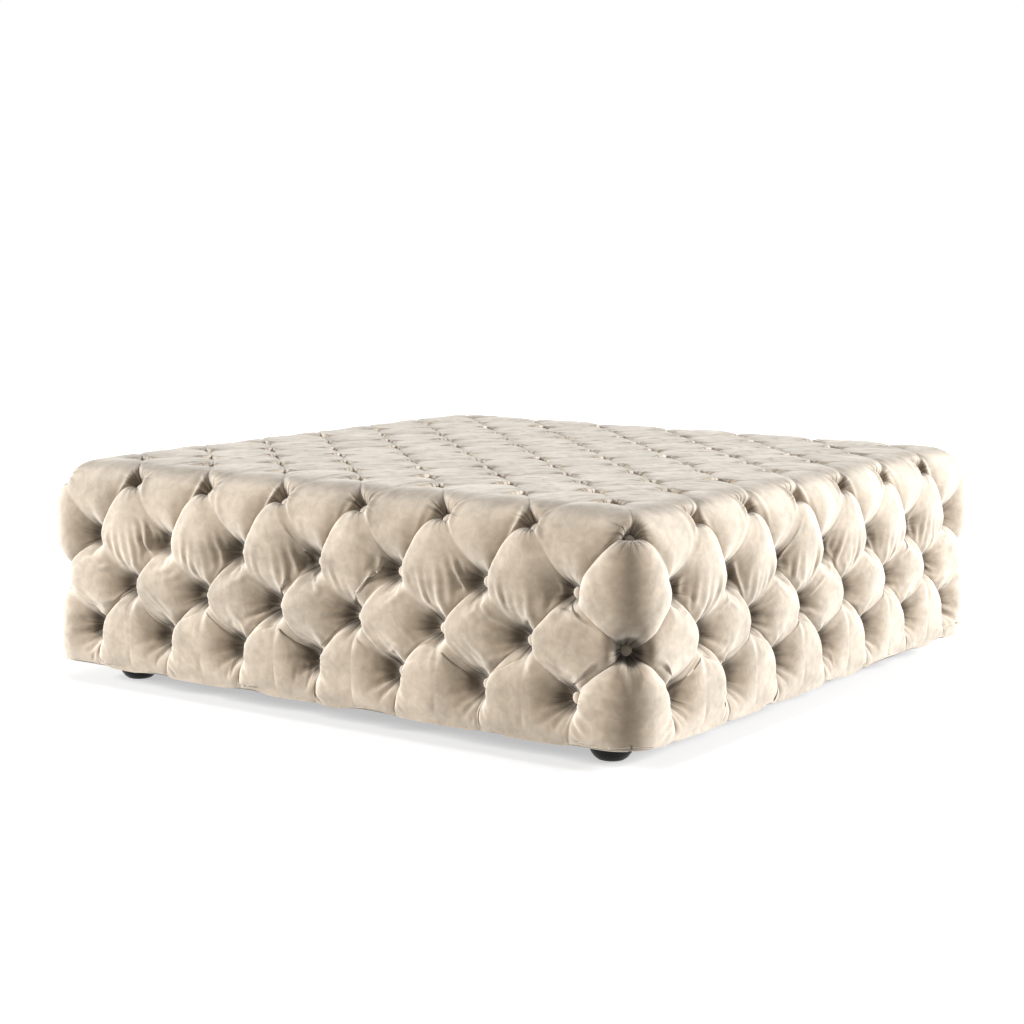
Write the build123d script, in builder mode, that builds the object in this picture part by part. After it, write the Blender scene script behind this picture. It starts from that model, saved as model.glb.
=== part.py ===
import math
import os

from build123d import *

os.makedirs("parts", exist_ok=True)

# A low square ottoman table, deep buttoned in velvet on its top and on all four sides, on four
# short tapered feet. Front is -Y, right is +X, and the origin is on the floor under the middle.

# Overall sizes, in millimetres
height = 397  # floor to the crowns of the top pillows
foot_height = 41  # floor to the underside of the dust cover

# Buttoning: rows and columns of diamonds, one button at each corner of a diamond
pitch = 165  # from button to button along a row
columns = 7  # diamonds along one side
edge_overhang = 32.5  # crowns of a side beyond the outermost row of top buttons
edge_row_drop = 40  # crowns of the top down to that row
top_pillow_rise = 22  # crown of a top pillow above its pleats
side_pillow_rise = 18
pillow_facets = 4  # across a pillow, between its pleats
top_seat_depth = 46  # crown down to where a top button is seated
side_seat_depth = 27
corner_seat_draw = 11  # how much deeper the corner buttons are drawn along each axis
seat_width = 24  # square bottom of the pit round a button
pit_reach = 60  # from the seat out past the crowns
pit_mouth = 124  # square mouth of the pit at that reach

# Rounded edges of the padding
top_edge_radius = 58
corner_radius = 72
edge_facets = 3
crown_relief = 5  # the rounded block stands this far outside the crowns, which are cut from it

# Covered buttons and the twine that holds them down
button_diameter = 19
button_height = 7
button_sides = 8
button_taper = 30
twine_width = 2
twine_sides = 3

# Velvet at its thinnest, under the buttons and at the hem
velvet_under_seat = 3
hem_thickness = 1
hem_grip = 8  # hem folded under the edge of a side panel

# Foam
top_foam_thickness = 60
side_foam_thickness = 30
foam_edge_chamfer = 30
foam_corner_chamfer = 45

# Timber frame
panel_thickness = 12
deck_thickness = 15
post_width = 70
rail_thickness = 22
rail_width = 60
bearer_places_share = (-2.25, -0.75, 0.75, 2.25)  # of the pitch, between the columns of twine

# Dust cover, feet and their fixings
dust_cover_thickness = 1
foot_top_diameter = 74
foot_bottom_diameter = 44
foot_lip = 5
foot_edge = 4  # eased lower edge
bolt_diameter = 8
bolt_in_foot = 30
insert_diameter = 13
insert_length = 25
fixing_sides = 8  # small round fixings are drawn with few faces

# Clearances
fit_clearance = 0.3
thread_clearance = 0.15

# Levels and half widths that follow
lattice_half = columns * pitch / 2
crown_half = lattice_half + edge_overhang
row_drop = pitch / 2
edge_row = height - edge_row_drop
side_rows = [edge_row - row_drop * row for row in (1, 2, 3)]
top_seat = height - top_seat_depth
side_seat = crown_half - side_seat_depth
core_half = side_seat - velvet_under_seat
core_top = top_seat - velvet_under_seat
frame_base = foot_height + dust_cover_thickness
hem_bottom = frame_base - hem_thickness
deck_top = core_top - top_foam_thickness
deck_bottom = deck_top - deck_thickness
panel_half = core_half - side_foam_thickness
frame_half = panel_half - panel_thickness
post_inner = frame_half - post_width
post_centre = frame_half - post_width / 2
rail_inner = frame_half - rail_thickness
hem_opening = panel_half - hem_grip
chord = pitch / math.sqrt(2)  # from pleat to pleat, square to them

sides = {"front": 0, "right": 1, "back": 2, "left": 3}  # quarter turns from the front
quarter_turn = 90
up = (0, 0, 1)


def turned(place, turns):
    # The same place or direction on a side that lies some quarter turns from the front
    return Vector(*place).rotate(Axis.Z, turns * quarter_turn)


def seat_plane(place, outward, turns=0):
    # The plane of a button's seat, its normal pointing out of the padding
    along = Vector(outward).cross(Vector(*up)) if outward != up else Vector(-1, 0, 0)
    return Plane(origin=turned(place, turns), x_dir=turned(-along, turns), z_dir=turned(outward, turns))


def save(piece, name):
    piece.part.label = name
    export_step(piece.part, f"parts/{name}.step")


# Places of the buttons, each a plane on its seat
whole_columns = [(column - columns / 2) * pitch for column in range(columns + 1)]
half_columns = [x + pitch / 2 for x in whole_columns[:-1]]
inner_columns = whole_columns[1:-1]

top_seats = [seat_plane((x, y, top_seat), up) for x in inner_columns for y in inner_columns]
top_seats += [seat_plane((x, y, top_seat), up) for x in half_columns for y in half_columns]

edge_draw = button_height / math.sqrt(2)
edge_seats = [
    seat_plane((x, edge_draw - lattice_half, edge_row - edge_draw), (0, -1, 1), turns)
    for turns in sides.values()
    for x in inner_columns
]
top_corner = lattice_half - corner_seat_draw
top_corner_seats = [
    seat_plane((top_corner, -top_corner, edge_row - corner_seat_draw), (1, -1, 1), turns)
    for turns in sides.values()
]
side_corner = side_seat - corner_seat_draw - button_height
side_corner_seats = [
    seat_plane((side_corner, -side_corner, side_rows[1]), (1, -1, 0), turns) for turns in sides.values()
]
side_seats = {
    name: [
        seat_plane((x, -side_seat, z), (0, -1, 0), turns)
        for z, places in zip(side_rows, (half_columns, inner_columns, half_columns))
        for x in places
    ]
    for name, turns in sides.items()
}
all_seats = top_seats + edge_seats + top_corner_seats + side_corner_seats
all_seats += [seat for seats in side_seats.values() for seat in seats]


def arc_points(centre, radius, start, end, facets):
    # Points of an arc in flat facets, because hundreds of curved pillows would be too heavy
    angles = [math.radians(start + (end - start) * step / facets) for step in range(facets + 1)]
    return [(centre[0] + radius * math.cos(a), centre[1] + radius * math.sin(a)) for a in angles]


def scallops(origin, across, outward, count, rise):
    # A row of arches side by side, crowns outward, for the pillows between one set of pleats
    pleat_plane = Plane(origin=origin, x_dir=across, z_dir=Vector(across).cross(Vector(outward)))
    half = count * chord / 2
    radius = (chord**2 / 4 + rise**2) / (2 * rise)
    spread = math.degrees(math.asin(chord / 2 / radius))
    points = [(half, -2 * half), (-half, -2 * half), (-half, -rise)]
    for arch in range(count):
        centre = ((arch + 1 / 2) * chord - half, -radius)
        points += arc_points(centre, radius, 90 + spread, 90 - spread, pillow_facets)[1:]
    with BuildSketch(pleat_plane) as outline:
        with BuildLine():
            Polyline(*points, close=True)
        make_face()
    return outline.sketch


def rounded_frame(plane, half, low, high, radius, corners):
    # A rectangle with two or four of its corners rounded in facets, for the padding's block
    points = arc_points((half - radius, high - radius), radius, 0, 90, edge_facets)
    points += arc_points((radius - half, high - radius), radius, 90, 180, edge_facets)
    if corners == 4:
        points += arc_points((radius - half, low + radius), radius, 180, 270, edge_facets)
        points += arc_points((half - radius, low + radius), radius, 270, 360, edge_facets)
    else:
        points += [(-half, low), (half, low)]
    with BuildSketch(plane) as outline:
        with BuildLine():
            Polyline(*points, close=True)
        make_face()
    return outline.sketch


# Chamfered block that the top and side foam fill together, inside the cover
with BuildPart() as core:
    with BuildSketch(Plane.XY.offset(frame_base)) as plan:
        Rectangle(2 * core_half, 2 * core_half)
        chamfer(plan.vertices(), foam_corner_chamfer)
    extrude(amount=core_top - frame_base)
    chamfer(core.edges().group_by(Axis.Z)[-1], foam_edge_chamfer)

# Pit that the pleats run down into round a button, four sided with its corners on the pleats
with BuildPart() as pit:
    Wedge(
        xsize=pit_mouth,
        ysize=pit_reach,
        zsize=pit_mouth,
        xmin=(pit_mouth - seat_width) / 2,
        zmin=(pit_mouth - seat_width) / 2,
        xmax=(pit_mouth + seat_width) / 2,
        zmax=(pit_mouth + seat_width) / 2,
        rotation=(-90, 0, 0),
        align=(Align.CENTER, Align.MAX, Align.CENTER),
    )

# Velvet cover with its wadding: one buttoned skin over the top and the sides
block_half = crown_half + crown_relief
reach = 4 * crown_half
block_top = height + crown_relief
with BuildPart() as velvet_cover:
    plan = rounded_frame(Plane.XY.offset(side_rows[2]), block_half, -block_half, block_half, corner_radius, 4)
    extrude(plan, amount=block_top - side_rows[2])
    for plane in (Plane.XZ, Plane.YZ):
        elevation = rounded_frame(plane, block_half, 0, block_top, top_edge_radius, 2)
        extrude(elevation, amount=reach, both=True, clean=False, mode=Mode.INTERSECT)
    # Diamonds of the top: two sets of pleats, along its diagonals
    for across in ((1, 1, 0), (1, -1, 0)):
        arches = scallops((0, 0, height), across, up, 2 * columns + 2, top_pillow_rise)
        extrude(arches, amount=reach, both=True, clean=False, mode=Mode.INTERSECT)
    # Diamonds of the four sides, down to the lowest row of buttons
    for turns in (0, 1, 2, 3):
        for across in ((1, 0, 1), (1, 0, -1)):
            place, outward = turned((0, -crown_half, edge_row), turns), turned((0, -1, 0), turns)
            arches = scallops(place, turned(across, turns), outward, 2 * columns - 1, side_pillow_rise)
            extrude(arches, amount=reach, both=True, clean=False, mode=Mode.INTERSECT)
    # Straight pleats from there to the hem
    extrude(velvet_cover.faces().sort_by(Axis.Z)[0], amount=side_rows[2] - hem_bottom, clean=False)
    # Pits that the pleats run down into, one round each button
    with Locations(*all_seats):
        add(pit.part, clean=False, mode=Mode.SUBTRACT)
    # Room for the foam and the frame, and the opening inside the hem
    add(core.part, clean=False, mode=Mode.SUBTRACT)
    with BuildSketch(Plane.XY.offset(hem_bottom)):
        Rectangle(2 * hem_opening, 2 * hem_opening)
    extrude(amount=hem_thickness, clean=False, mode=Mode.SUBTRACT)
save(velvet_cover, "velvet_cover")


def slab(low, high, half_x, half_y):
    # A plain board or sheet between two levels, centred on the ottoman
    with BuildPart() as board:
        with BuildSketch(Plane.XY.offset(low)):
            Rectangle(2 * half_x, 2 * half_y)
        extrude(amount=high - low)
    return board


# Top foam, with the padding's chamfered edge, lying on the deck and on the side foam
with BuildPart() as foam_top:
    add(core.part)
    split(bisect_by=Plane.XY.offset(deck_top), keep=Keep.TOP)
save(foam_top, "foam_top")

# Side foam: front and back run through, left and right fit between them
for name, turns in sides.items():
    runs_through = turns % 2 == 0
    with BuildPart() as foam_side:
        add(core.part)
        split(bisect_by=Plane.XY.offset(deck_top), keep=Keep.BOTTOM)
        face = Plane(origin=turned((0, -panel_half, 0), turns), z_dir=turned((0, -1, 0), turns))
        split(bisect_by=face, keep=Keep.TOP)
        if not runs_through:
            for end in (Plane.XZ.offset(panel_half), Plane.XZ.offset(-panel_half)):
                split(bisect_by=end, keep=Keep.BOTTOM if end.origin.Y < 0 else Keep.TOP)
    save(foam_side, f"foam_{name}")

# Deck board that the top twines are tied down to
save(slab(deck_bottom, deck_top, frame_half, frame_half), "deck_panel")

# Side panels stand round the frame from its base to the top of the deck
for name, turns in sides.items():
    panel_run = panel_half if turns % 2 == 0 else frame_half
    with BuildPart() as side_panel:
        with BuildSketch(Plane.XY.offset(frame_base)):
            with Locations(turned((0, -(panel_half + frame_half) / 2, 0), turns)):
                if turns % 2 == 0:
                    Rectangle(2 * panel_run, panel_thickness)
                else:
                    Rectangle(panel_thickness, 2 * panel_run)
        extrude(amount=deck_top - frame_base)
    save(side_panel, f"side_panel_{name}")

# Corner posts, each bored from below for the threaded insert of its foot
corners = {"front_left": (-1, -1), "front_right": (1, -1), "back_right": (1, 1), "back_left": (-1, 1)}
for name, (side_x, side_y) in corners.items():
    centre = (side_x * post_centre, side_y * post_centre)
    with BuildPart() as corner_post:
        with BuildSketch(Plane.XY.offset(frame_base)):
            with Locations(centre):
                Rectangle(post_width, post_width)
        extrude(amount=deck_bottom - frame_base)
        with BuildSketch(Plane.XY.offset(frame_base)):
            with Locations(centre):
                RegularPolygon(insert_diameter / 2 + thread_clearance, fixing_sides)
        extrude(amount=insert_length, mode=Mode.SUBTRACT)
    save(corner_post, f"corner_post_{name}")

# Rails between the posts, flush with their outer faces
for level, low in (("bottom", frame_base), ("top", deck_bottom - rail_width)):
    for name, turns in sides.items():
        with BuildPart() as rail:
            with BuildSketch(Plane.XY.offset(low)):
                with Locations(turned((0, -(frame_half + rail_inner) / 2, 0), turns)):
                    if turns % 2 == 0:
                        Rectangle(2 * post_inner, rail_thickness)
                    else:
                        Rectangle(rail_thickness, 2 * post_inner)
            extrude(amount=rail_width)
        save(rail, f"{level}_rail_{name}")

# Bearers under the deck from front to back, clear of the twine, and one stretcher at the base
for number, share in enumerate(bearer_places_share, start=1):
    with BuildPart() as bearer:
        with BuildSketch(Plane.XY.offset(deck_bottom - rail_width)):
            with Locations((share * pitch, 0)):
                Rectangle(rail_thickness, 2 * rail_inner)
        extrude(amount=rail_width)
    save(bearer, f"deck_bearer_{number}")
save(slab(frame_base, frame_base + rail_width, rail_inner, rail_thickness / 2), "base_stretcher")

# Dust cover under the frame, inside the hem, slit square for each foot bolt
dust_half = hem_opening - fit_clearance
slit = bolt_diameter + 2 * fit_clearance
with BuildPart() as dust_cover:
    with BuildSketch(Plane.XY.offset(foot_height)):
        Rectangle(2 * dust_half, 2 * dust_half)
        with GridLocations(2 * post_centre, 2 * post_centre, 2, 2):
            Rectangle(slit, slit, mode=Mode.SUBTRACT)
    extrude(amount=dust_cover_thickness)
save(dust_cover, "dust_cover")

# One turned foot: a lip at the top, a taper, an eased lower edge and the bore for its bolt
foot_top, foot_bottom = foot_top_diameter / 2, foot_bottom_diameter / 2
with BuildPart() as foot:
    with BuildSketch(Plane.XZ) as profile:
        with BuildLine():
            Polyline(
                (0, 0),
                (foot_bottom, 0),
                (foot_top, foot_height - foot_lip),
                (foot_top, foot_height),
                (0, foot_height),
                close=True,
            )
        make_face()
        chamfer(profile.vertices().sort_by(Axis.Y)[:2].sort_by(Axis.X)[-1], foot_edge)
    revolve(axis=Axis.Z)
    with BuildSketch(Plane.XY.offset(foot_height)):
        RegularPolygon(bolt_diameter / 2 + thread_clearance, fixing_sides)
    extrude(amount=-bolt_in_foot, mode=Mode.SUBTRACT)

with BuildPart() as feet:
    with GridLocations(2 * post_centre, 2 * post_centre, 2, 2):
        add(foot.part)
save(feet, "feet")

# Bolts of the feet, and the threaded inserts in the posts that they screw into
with BuildPart() as foot_bolts:
    with BuildSketch(Plane.XY.offset(foot_height - bolt_in_foot)):
        with GridLocations(2 * post_centre, 2 * post_centre, 2, 2):
            RegularPolygon(bolt_diameter / 2, fixing_sides)
    extrude(amount=bolt_in_foot + dust_cover_thickness + insert_length)
save(foot_bolts, "foot_bolts")

with BuildPart() as foot_inserts:
    with BuildSketch(Plane.XY.offset(frame_base)):
        with GridLocations(2 * post_centre, 2 * post_centre, 2, 2):
            RegularPolygon(insert_diameter / 2, fixing_sides)
            RegularPolygon(bolt_diameter / 2 + thread_clearance, fixing_sides, mode=Mode.SUBTRACT)
    extrude(amount=insert_length)
save(foot_inserts, "foot_inserts")

# One covered button and the places of each group
with BuildPart() as button:
    with BuildSketch():
        RegularPolygon(button_diameter / 2, button_sides, rotation=180 / button_sides)
    extrude(amount=button_height, taper=button_taper)

button_groups = {"top": top_seats, "edge": edge_seats + top_corner_seats, "corner": side_corner_seats}
button_groups.update(side_seats)
for name, seats in button_groups.items():
    with BuildPart() as buttons:
        with Locations(*seats):
            add(button.part)
    save(buttons, f"buttons_{name}")

# Twine from the back of each button to the board behind it
twine_depths = {
    "top": top_seat - deck_bottom,
    "edge": (edge_row - edge_draw - deck_bottom) * math.sqrt(2),
    "corner": (side_corner - frame_half) * math.sqrt(2),
}
for name, seats in button_groups.items():
    depth = twine_depths.get(name, side_seat - frame_half)
    with BuildPart() as twines:
        with BuildSketch(*seats):
            RegularPolygon(twine_width / 2, twine_sides)
        extrude(amount=-depth)
    save(twines, f"twine_{name}")
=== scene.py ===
import bpy
import bmesh
import math
import numpy as np
from concurrent.futures import ThreadPoolExecutor
from mathutils import Matrix, Vector


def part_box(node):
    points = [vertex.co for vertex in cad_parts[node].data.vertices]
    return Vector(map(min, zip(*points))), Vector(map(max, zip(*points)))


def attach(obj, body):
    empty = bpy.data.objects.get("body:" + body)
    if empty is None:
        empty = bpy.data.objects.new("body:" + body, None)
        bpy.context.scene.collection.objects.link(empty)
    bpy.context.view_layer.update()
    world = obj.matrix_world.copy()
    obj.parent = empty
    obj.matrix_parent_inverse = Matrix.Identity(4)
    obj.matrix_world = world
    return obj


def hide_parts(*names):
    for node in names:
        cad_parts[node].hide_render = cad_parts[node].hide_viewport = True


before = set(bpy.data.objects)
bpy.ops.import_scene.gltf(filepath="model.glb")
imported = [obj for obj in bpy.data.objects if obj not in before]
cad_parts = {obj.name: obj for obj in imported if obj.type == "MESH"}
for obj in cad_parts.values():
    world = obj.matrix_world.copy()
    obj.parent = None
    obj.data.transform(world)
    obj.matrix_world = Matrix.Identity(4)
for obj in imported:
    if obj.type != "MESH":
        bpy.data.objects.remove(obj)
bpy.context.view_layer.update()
scene = bpy.context.scene

tufting = {
    "proud": (0.007, 0.003),   # how far the velvet's crowns stand outside the CAD's, at the sides and on top
    "pitch": 0.165,            # button to button along a row
    "edgeRow": 0.357,          # height of the buttons on the top edge
    "rowDrop": (0.005, 0.004, 0),   # how far the side rows hang lower than even steps
    "topSeat": 0.362,          # where the buttons are seated: up on the top, out elsewhere
    "sideSeat": 0.583,
    "edgeSeat": (0.5775, 0.357),    # out and up
    "topCorner": (0.5725, 0.352),
    "sideCorner": 0.565,
    "edgeRound": 0.074,        # radius of the padding along the top edge, and of its upright corners
    "cornerRound": 0.060,
    "buttonRadius": 0.0085,    # velvet lies flat under a button this far out
}

pillow = {
    "cells": 36,               # cloth cells along a pleat, at the end and at the start
    "coarse": 18,
    "target": 64,              # cells of the foam shape under it
    "steps": (260, 320),       # of the cloth's settling, coarse and fine
    "wells": {"top": (0.004, 0.2), "edge": (0.006, 0.3), "corner": (0.006, 0.4),
              "sideCorner": (0.018, 0.15), "side": (0.018, 0.75)},   # how wide, and how much wider on the gathered side
    "wellPower": 1.6,
    "foldCount": (12, 18),     # folds running into a button
    "foldDepth": (0.0055, 0.4),     # and the share of that on the top
    "foldReach": 0.016,
    "foldLean": (0.5, 0.8),         # how much longer and deeper they are on the gathered side
    "foldBand": (0.007, 0.008, 0.013),   # where folds begin, over what distance they grow, where they fade
    "crispDepth": 0.0085,      # pleats where one pillow lies over the next
    "crispValley": 0.007,
    "topShare": 0.32,          # how deep the pleats of the top are against those
    "valleyRound": {"over": 0.030, "under": 0.085, "soft": 0.075, "hem": 0.07},
    "bow": (0.0065, 1.3),      # how far pleats bend aside, and how much more on the top
    "edgeBow": 0.009,
    "bowReach": 0.06,
    "leaving": 0.25,           # how much a pleat that leaves the top is like one on it
    "cover": 0.006,            # how far a full pillow leans over the button beside it
    "coverBand": ((0.009, 0.012), (0.024, 0.035)),   # from where and over what distance that grows, and fades
    "pinch": 0.001,            # how far the pillows of the top close over theirs
    "pinchBand": ((0.008, 0.009), (0.018, 0.022)),
    "softDepth": 0.006,        # the other pleats: a crack near the lower end that fades upwards
    "softFade": 0.55,
    "softValley": (0.009, 0.004),
    "round": {"soft": 0.030, "over": 0.014, "under": 0.034, "hem": 0.018},   # from a pleat to the crown
    "overlap": 0.004,          # of a pillow that lies over the next
    "topOverlap": 0.3,         # share of that on the top
    "lapEnds": (0.045, 0.03),  # how far it stays off the ends of a pleat, on diamonds and below them
    "pleatEnds": 0.006,        # and how far the pleat itself does
    "fullness": (-0.001, 0.0015),
    "cornerFullness": 0.006,
    "hemPleat": (0.010, 0.85), # depth, and how much of it fades towards the hem
    "hemValley": (0.007, 0.9),
    "gatherSpare": {"top": 0.05, "side": 0.42},   # extra cloth round a button
    "gatherReach": 0.030,
    "midSpare": {"top": 1.01, "side": 1.04},      # cloth across the middle against the foam's own length
    "crumple": (0.0004, 0.0003),                  # small unevenness that lets folds start, coarse and fine
    "bend": (0.02, 0.02),      # how much the cloth resists folding
    "stiff": (0.9, 0.2, 0.8),  # along the threads, slantwise, and the share of both against being squeezed
    "damp": 0.86,              # share of its movement that it keeps from step to step
    "hold": ((0.01, 0.04), (0.008, 0.03)),   # how the foam pulls it back, lifted and pressed in
    "holdLimit": 0.6,
    "trackEvery": 4,           # steps between looking for the foam point under each vertex
    "grip": 5,                 # how much better the foam holds it beside a pleat, and how far in
    "gripReach": 0.035,
    "hemTuck": (0.006, 0.72),  # how far the cloth is drawn in at the hem, and from how far down
    # turned under: share of the plan, drop
    "hemFolds": ((0.993, -0.0015), (0.975, -0.003), (0.93, -0.003), (0.880, -0.002)),
    "slit": (0.005, 1.6, 0.84),    # at the hem's corners: depth, width in cells, and from how far down
    "smoothTop": 0.2,          # how far the low pillows of the top are smoothed inside
    "pleatShade": 0.55,        # how dark the painted shadow line is where pillows touch
    "seam": 18,                # passes that smooth the joins of pillows, and how far in and how strongly:
    "soften": {"soft": (8, 0.25, 0.4), "over": (5, 0.34, 0), "under": (8, 0.6, 0),   # rows, share, more further up
               "corner": (12, 0.6), "hem": (9, 0.65), "middle": (6, 0.6), "foot": (8, 0.6)},
    "seed": 11,
}

coverLow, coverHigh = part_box("velvet_cover")
half = float(coverHigh[0]) + tufting["proud"][0]    # padding's crowns, from the middle
crown = float(coverHigh[2]) + tufting["proud"][1]   # top crowns above the floor
hem = float(coverLow[2])
rng = np.random.default_rng(pillow["seed"])
step = tufting["pitch"] / 2


def linked(name, data):  # a new object in the scene
    made = bpy.data.objects.new(name, data)
    scene.collection.objects.link(made)
    return made


def norm(vectors):
    return np.linalg.norm(vectors, axis=-1)


def unit(vectors):
    return vectors / np.maximum(np.linalg.norm(vectors, axis=-1, keepdims=True), 1e-9)


def turned(vector, quarter):
    x, y, z = vector
    for _ in range(quarter % 4):
        x, y = -y, x
    return (x, y, z)


def padDistance(points):  # signed distance to the rounded block that the crowns touch
    r1, r2 = tufting["edgeRound"], tufting["cornerRound"]
    ax = np.abs(points[..., 0]) - (half - r2)
    ay = np.abs(points[..., 1]) - (half - r2)
    plan = np.hypot(np.maximum(ax, 0), np.maximum(ay, 0)) + np.minimum(np.maximum(ax, ay), 0) - r2
    q = plan + r1
    z = points[..., 2] - (crown - r1)
    return np.hypot(np.maximum(q, 0), np.maximum(z, 0)) + np.minimum(np.maximum(q, z), 0) - r1


def ontoPad(points, axes):  # from inside out along each axis to the padding's outline
    reached = points.copy()
    for _ in range(60):
        reached -= padDistance(reached)[..., None] * axes
    return reached


# every button: where it is seated and which way it faces, keyed by its place
seats = {}
for i in range(-7, 8):
    for j in range(-7, 8):
        if (i - j) % 2:
            continue
        if i % 2 == 0 and max(abs(i), abs(j)) <= 6 or i % 2 and max(abs(i), abs(j)) <= 5:
            seats["top", i, j] = ((i * step, j * step, tufting["topSeat"]), (0, 0, 1))
for side in range(4):
    out, up = tufting["edgeSeat"]
    for i in range(-5, 6, 2):
        seats["edge", side, i] = (turned((i * step, -out, up), side), turned((0, -1, 1), side))
    rows = [tufting["edgeRow"] - step * (n + 1) - tufting["rowDrop"][n] for n in range(3)]
    for n, row in enumerate(rows):
        for i in range(-5, 6, 2) if n == 1 else range(-6, 7, 2):
            seats["side", side, n, i] = (turned((i * step, -tufting["sideSeat"], row), side), turned((0, -1, 0), side))
    out, up = tufting["topCorner"]
    seats["corner", side] = (turned((out, -out, up), side), turned((1, -1, 1), side))
    out = tufting["sideCorner"]
    seats["sideCorner", side] = (turned((out, -out, rows[1]), side), turned((1, -1, 0), side))


def topKey(i, j):  # the button at a place of the top, round its edge onto the first row of a side
    if abs(i) == abs(j) == 7:
        return ("corner", {(7, -7): 0, (7, 7): 1, (-7, 7): 2, (-7, -7): 3}[i, j])
    for side, (out, along) in enumerate(((-j, i), (i, j), (j, -i), (-i, -j))):
        if out == 7:
            return ("edge", side, along)
        if out == 8:
            return ("side", side, 0, along)
    return ("top", i, j)


# diamonds as bottom, right, top, left button, seen from outside, and the pieces below them as apex, left, right
diamonds = []
for i in range(-7, 8):
    for j in range(-7, 8):
        if (i - j) % 2:
            diamonds.append((topKey(i, j - 1), topKey(i + 1, j), topKey(i, j + 1), topKey(i - 1, j), "top"))
houses = []
for side in range(4):
    after, before = (side + 1) % 4, (side - 1) % 4
    for i in range(-5, 6, 2):
        diamonds.append((("side", side, 1, i), ("side", side, 0, i + 1), ("edge", side, i), ("side", side, 0, i - 1), side))
        houses.append((("side", side, 1, i), ("side", side, 2, i - 1), ("side", side, 2, i + 1)))
    diamonds.append((("sideCorner", side), ("side", after, 0, -6), ("corner", side), ("side", side, 0, 6), side))
    houses.append((("sideCorner", side), ("side", side, 2, 6), ("side", after, 2, -6)))
    for i in range(-6, 7, 2):
        right = ("side", side, 1, i + 1) if i < 6 else ("sideCorner", side)
        left = ("side", side, 1, i - 1) if i > -6 else ("sideCorner", before)
        diamonds.append((("side", side, 2, i), right, ("side", side, 0, i), left, side))

names = list(seats)
place = {name: n for n, name in enumerate(names)}
diamondSeats = [[place[key] for key in keys] for *keys, _ in diamonds]
houseSeats = [[place[key] for key in keys] for keys in houses]
borders = ((0, 1), (1, 2), (3, 2), (0, 3))   # of a diamond: bottom-right, right-top, top-left, left-bottom
seatPoint = np.array([seats[name][0] for name in names])
seatAxis = unit(np.array([seats[name][1] for name in names], float))
rimPoint = ontoPad(seatPoint, seatAxis)
seatDepth = norm(rimPoint - seatPoint)


def wellShape(name):  # the gathered slope of a well faces this way, and its steep side the other
    kind = name[0]
    if kind == "top":
        facing = (rng.normal(), rng.normal(), 0)
    elif kind == "sideCorner":
        facing = (0, 0, 1)
    else:
        lean = -1 if name[1] % 2 == 0 else 1
        facing = turned({"edge": (0, 1, 0.6), "corner": (-1, 1, 0.6), "side": (lean, 0, 0.12)}[kind], name[1])
    return (*pillow["wells"][kind], facing)


wellReach, wellLean, wellFacing = (np.array(part, float) for part in zip(*(wellShape(name) for name in names)))
wellFacing = unit(wellFacing)
wellFacing = unit(wellFacing - (wellFacing * seatAxis).sum(-1, keepdims=True) * seatAxis)
wellAcross = np.cross(seatAxis, wellFacing)
wellReach = wellReach * rng.uniform(0.9, 1.12, len(names))
foldCount = rng.integers(*pillow["foldCount"], len(names))
foldPhase = rng.uniform(0, 6.28, len(names))
foldWave = rng.uniform(0, 6.28, len(names))


def borderKind(side, edge, corner=None):  # how a pillow meets its neighbour along a border
    if side == "top":
        return ("soft", "over", "soft", "under")[edge]
    if corner == 0:
        return ("over", "over", "over", "soft")[edge]
    if corner is not None:
        return "soft"
    return (("under", "soft", "over", "soft"), ("soft", "over", "soft", "under"))[side % 2][edge]


# every pleat: its lower end, how deep and how round it is, and how the pillow named first meets it
pleats = {}
centre = {n: rimPoint[ids].mean(0) for n, ids in enumerate(diamondSeats)}
centre.update({("house", n): rimPoint[ids[1:]].mean(0) - (0, 0, 0.05) for n, ids in enumerate(houseSeats)})


def diamondOrder(n):  # the first upright corner, then the sides, the other corners and the top
    first, side = diamonds[n][0], diamonds[n][4]
    return first != ("sideCorner", 0), side == "top", first[0] == "sideCorner"


for n in sorted(range(len(diamonds)), key=diamondOrder):
    first, side = diamonds[n][0], diamonds[n][4]
    corner = first[1] if first[0] == "sideCorner" else None
    for edge, ends in enumerate(borders):
        low, high = (diamondSeats[n][end] for end in ends)
        if seatPoint[low][2] > seatPoint[high][2] + 0.01:
            low, high = high, low
        key = (min(low, high), max(low, high))
        if key not in pleats:
            pleats[key] = {"low": low, "kind": borderKind(side, edge, corner), "pillow": n,
                           "deep": rng.uniform(0.88, 1.12), "round": rng.uniform(0.9, 1.1)}
for b in range(len(names)):  # straight pleats from the lowest row
    pleats[b, b] = {"low": b, "kind": "hem", "pillow": None, "deep": rng.uniform(0.8, 1.2), "round": rng.uniform(0.85, 1.2)}


def pleatOf(a, b, n):  # a pleat as one of its pillows sees it
    pleat = pleats[min(a, b), max(a, b)]
    kind = pleat["kind"]
    return pleat, kind if pleat["pillow"] == n else {"over": "under", "under": "over"}.get(kind, kind)


def spread(cells):  # places along a pleat, closer together near its ends
    t = np.linspace(0, 1, cells + 1)
    return 0.45 * t + 0.55 * (1 - np.cos(np.pi * t)) / 2


def shoulder(x):  # 0 at the pleat, 1 where the crown begins
    x = np.clip(x, 0, 1)
    return np.sqrt(np.maximum(1 - (1 - x) ** 2, 0))


def ramp(x):
    x = np.clip(x, 0, 1)
    return x * x * (3 - 2 * x)


def band(x, rise, fall):  # up to 1 and down again, each from where and over what distance
    return ramp((x - rise[0]) / rise[1]) * (1 - ramp((x - fall[0]) / fall[1]))


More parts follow.
